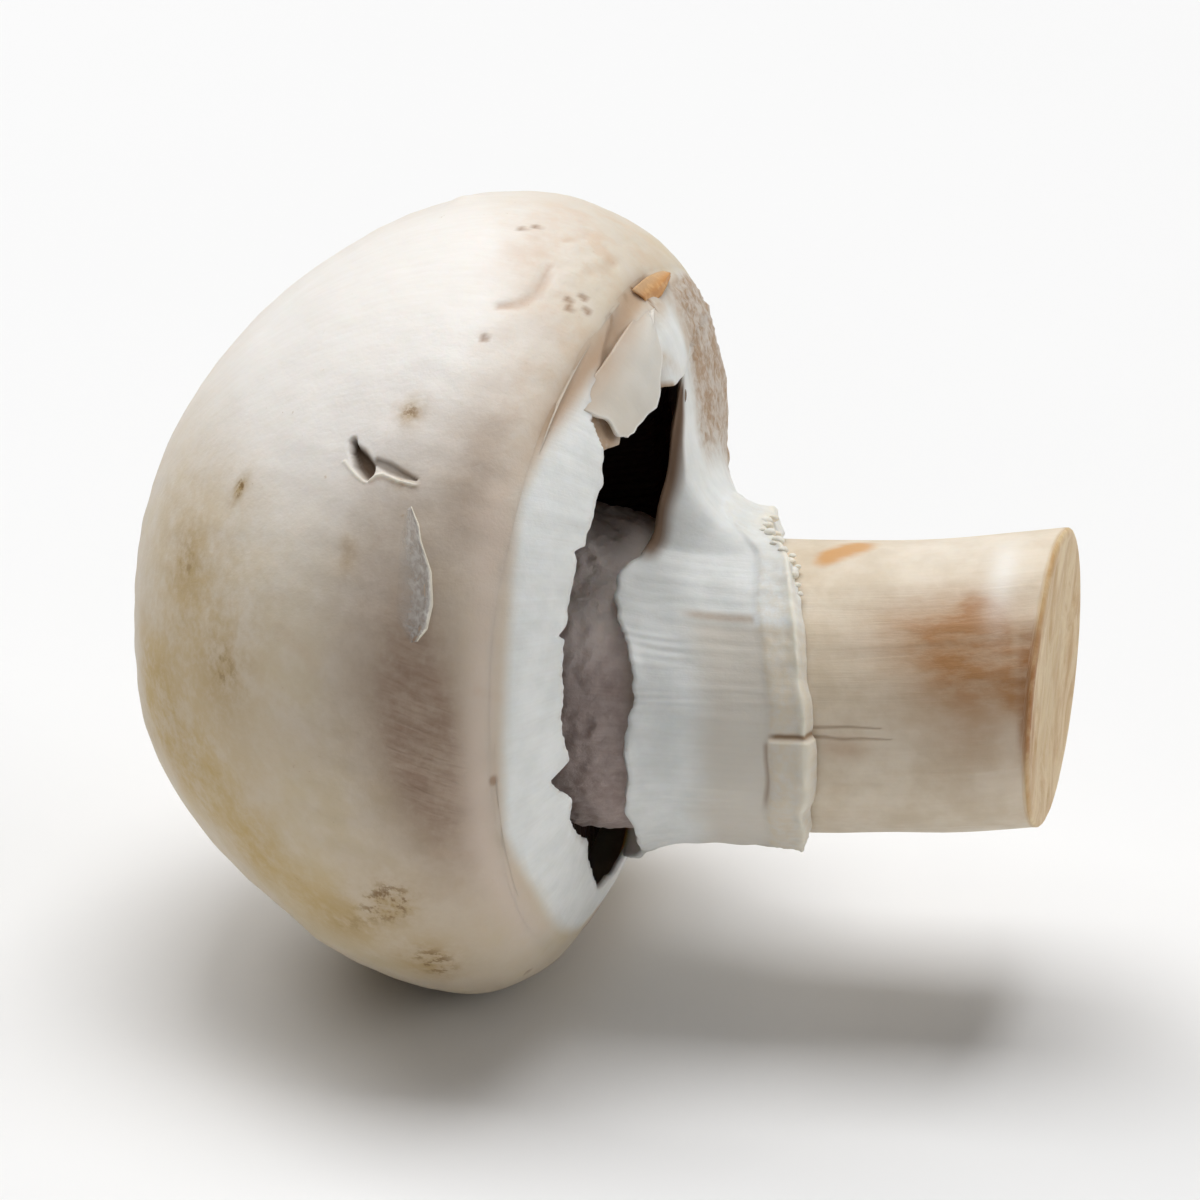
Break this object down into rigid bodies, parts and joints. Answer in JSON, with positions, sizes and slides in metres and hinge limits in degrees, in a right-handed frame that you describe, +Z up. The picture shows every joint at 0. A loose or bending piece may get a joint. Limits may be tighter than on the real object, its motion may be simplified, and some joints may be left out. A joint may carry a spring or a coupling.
{
  "type": "button mushroom",
  "caption": "Closed-cup button mushroom, picked and lying on the side of its cap, with a torn veil, dark gills and a cut stem.",
  "frame": {"origin": "centre of the bounding box's base, on the surface the mushroom lies on", "axes": "+X along the stem from the cap's crown to the cut end, 5 degrees below the stem's own rise; +Z up"},
  "size_m": [0.0522, 0.044, 0.0444],
  "materials": {
    "cap_skin": "soft satin skin, off-white with tan stains",
    "stem_flesh": "matt cream flesh with lengthwise fibres",
    "gill_brown": "matt dark brown",
    "veil_membrane": "matt cool white membrane with fine pleats"
  },
  "bodies": {
    "root": {"cap": "cap_skin", "stem": "stem_flesh", "gills": "gill_brown", "veil": "veil_membrane"}
  },
  "joints": []
}
